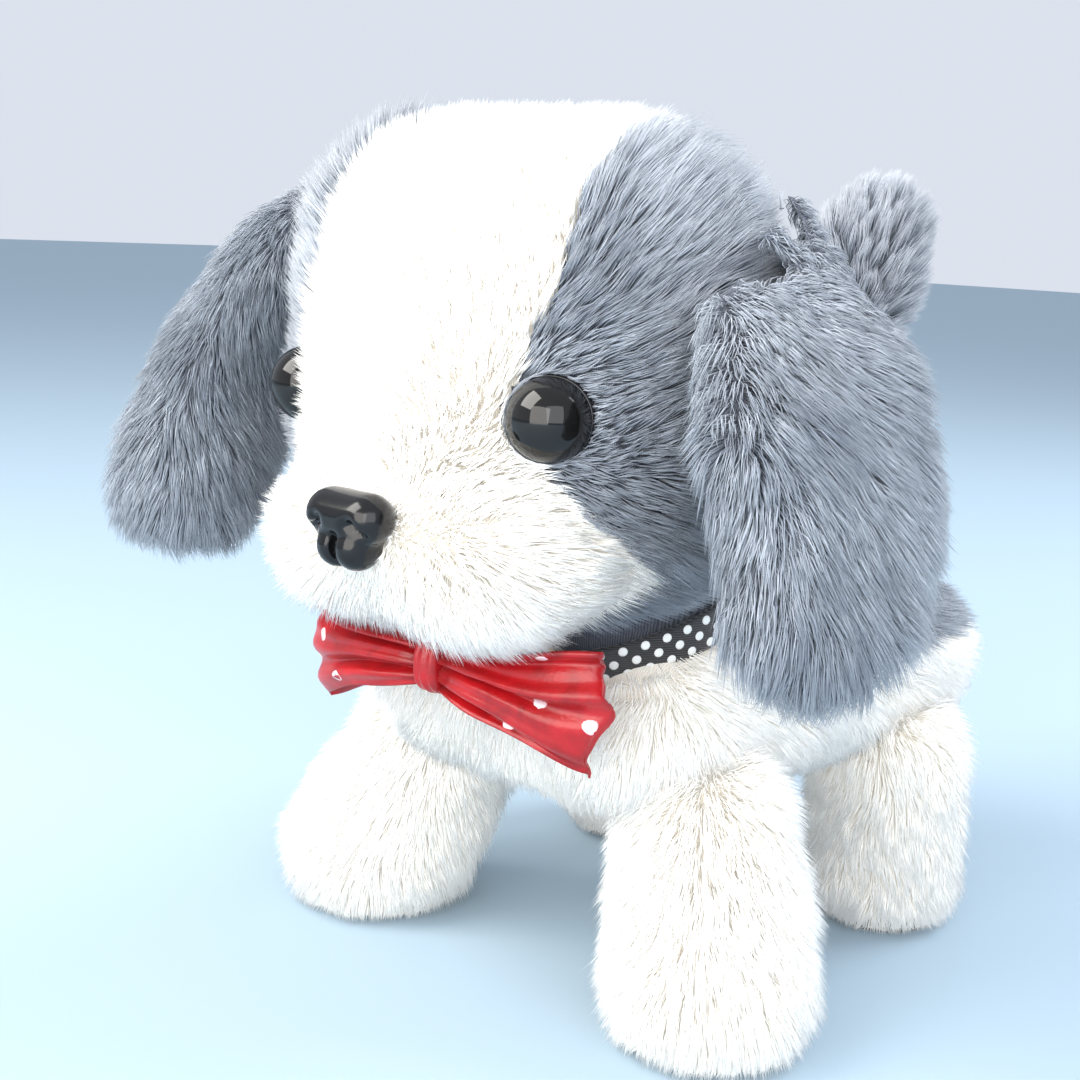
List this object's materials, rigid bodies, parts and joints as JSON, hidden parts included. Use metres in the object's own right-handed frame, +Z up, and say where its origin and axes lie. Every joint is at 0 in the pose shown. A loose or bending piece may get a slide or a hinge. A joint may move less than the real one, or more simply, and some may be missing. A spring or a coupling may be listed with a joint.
{
  "type": "interactive plush puppy",
  "caption": "Battery walking plush puppy: fur skin over a geared chassis, swinging legs, nodding head, wagging tail, dotted collar and satin bow.",
  "frame": {"origin": "floor under the middle of the dog's box, between its feet", "axes": "+Z up, -Y is the way the dog faces, +X is the dog's own left"},
  "size_m": [0.1866, 0.1898, 0.1789],
  "materials": {
    "grey_fur": "long plush pile",
    "white_fur": "short plush pile",
    "stuffing": "polyester fibre",
    "shell_plastic": "moulded",
    "dark_plastic": "moulded",
    "gear_plastic": "moulded acetal",
    "steel": "plain",
    "pinion_brass": "plain",
    "cell_wrap": "printed sleeve without text",
    "circuit_board": "solder mask",
    "speaker_frame": "satin",
    "sole_rubber": "matt",
    "dotted_ribbon": "black grosgrain ribbon with white dots",
    "gold_metal": "polished",
    "red_satin": "satin under sheer dotted organza",
    "black_gloss": "polished"
  },
  "bodies": {
    "torso": {"casing_left": "shell_plastic", "casing_right": "shell_plastic", "casing_screws": "steel", "battery_tray": "dark_plastic", "battery_cells": "cell_wrap", "battery_contacts": "steel", "switch_body": "dark_plastic", "circuit_board": "circuit_board", "speaker": "speaker_frame", "motor": "steel", "gear_axles": "steel", "leg_pivot_screws": "steel", "neck_bracket": "shell_plastic", "neck_pin": "steel", "tail_screw": "steel", "body_stuffing": "stuffing", "back_fur": "grey_fur", "belly_fur": "white_fur", "collar_strap": "dotted_ribbon", "collar_buckle": "gold_metal", "bow_wing_left": "red_satin", "bow_wing_right": "red_satin", "bow_knot": "red_satin"},
    "battery_door": {"battery_door": "shell_plastic", "battery_door_screw": "steel"},
    "switch": {"switch_knob": "dark_plastic"},
    "rotor": {"motor_shaft": "steel", "motor_pinion": "pinion_brass"},
    "first_gear": {"first_gear": "gear_plastic"},
    "second_gear": {"second_gear": "gear_plastic"},
    "crank": {"crankshaft": "steel", "crank_gear": "gear_plastic", "crank_disc_left": "gear_plastic", "crank_disc_right": "gear_plastic"},
    "leg_front_left": {"leg_frame_front_left": "shell_plastic", "leg_fur_front_left": "white_fur", "sole_pads_front_left": "sole_rubber"},
    "leg_front_right": {"leg_frame_front_right": "shell_plastic", "leg_fur_front_right": "white_fur", "sole_pads_front_right": "sole_rubber"},
    "leg_rear_left": {"leg_frame_rear_left": "shell_plastic", "leg_fur_rear_left": "white_fur", "sole_pads_rear_left": "sole_rubber"},
    "leg_rear_right": {"leg_frame_rear_right": "shell_plastic", "leg_fur_rear_right": "white_fur", "sole_pads_rear_right": "sole_rubber"},
    "tail": {"tail_lever": "shell_plastic", "tail_fur": "grey_fur"},
    "head": {"skull_left": "shell_plastic", "skull_right": "shell_plastic", "head_stuffing": "stuffing", "head_fur_left": "grey_fur", "head_fur_right": "grey_fur", "blaze_fur": "white_fur", "muzzle_fur": "white_fur", "ear_left": "grey_fur", "ear_right": "grey_fur", "eye_left": "black_gloss", "eye_right": "black_gloss", "nose": "black_gloss"}
  },
  "joints": [
    {"name": "crank_spin", "type": "hinge", "parent": "torso", "child": "crank", "pos_m": [0, 0.0122, 0.066], "axis": [1, 0, 0], "continuous": true},
    {"name": "second_gear_spin", "type": "hinge", "parent": "torso", "child": "second_gear", "pos_m": [0, 0.02113, 0.07225], "axis": [1, 0, 0], "continuous": true},
    {"name": "first_gear_spin", "type": "hinge", "parent": "torso", "child": "first_gear", "pos_m": [0, 0.03006, 0.0785], "axis": [1, 0, 0], "continuous": true},
    {"name": "rotor_spin", "type": "hinge", "parent": "torso", "child": "rotor", "pos_m": [0, 0.03899, 0.08476], "axis": [1, 0, 0], "continuous": true},
    {"name": "leg_front_left_swing", "type": "hinge", "parent": "torso", "child": "leg_front_left", "pos_m": [0, -0.0168, 0.066], "axis": [1, 0, 0], "range_deg": [-10, 10]},
    {"name": "leg_front_right_swing", "type": "hinge", "parent": "torso", "child": "leg_front_right", "pos_m": [0, -0.0168, 0.066], "axis": [1, 0, 0], "range_deg": [-10, 10]},
    {"name": "leg_rear_left_swing", "type": "hinge", "parent": "torso", "child": "leg_rear_left", "pos_m": [0, 0.0412, 0.066], "axis": [1, 0, 0], "range_deg": [-10, 10]},
    {"name": "leg_rear_right_swing", "type": "hinge", "parent": "torso", "child": "leg_rear_right", "pos_m": [0, 0.0412, 0.066], "axis": [1, 0, 0], "range_deg": [-10, 10]},
    {"name": "tail_wag", "type": "hinge", "parent": "torso", "child": "tail", "pos_m": [0, 0.0612, 0.104], "axis": [0, 1, 0], "range_deg": [-15, 15]},
    {"name": "head_nod", "type": "hinge", "parent": "torso", "child": "head", "pos_m": [0, -0.0368, 0.116], "axis": [1, 0, 0], "range_deg": [-8, 3]},
    {"name": "switch_slide", "type": "slide", "parent": "torso", "child": "switch", "axis": [0, 1, 0], "range_m": [0, 0.0035]},
    {"name": "battery_door_lift", "type": "slide", "parent": "torso", "child": "battery_door", "axis": [0, 0, -1], "range_m": [0, 0.016]}
  ],
  "couplings": [
    {"joint": "second_gear_spin", "follows": "crank_spin", "ratio": -3},
    {"joint": "first_gear_spin", "follows": "crank_spin", "ratio": 9},
    {"joint": "rotor_spin", "follows": "crank_spin", "ratio": -27},
    {"joint": "leg_front_right_swing", "follows": "leg_front_left_swing", "ratio": -1},
    {"joint": "leg_rear_left_swing", "follows": "leg_front_left_swing", "ratio": -1},
    {"joint": "leg_rear_right_swing", "follows": "leg_front_left_swing", "ratio": 1},
    {"joint": "tail_wag", "follows": "leg_front_left_swing", "ratio": 1.5}
  ]
}
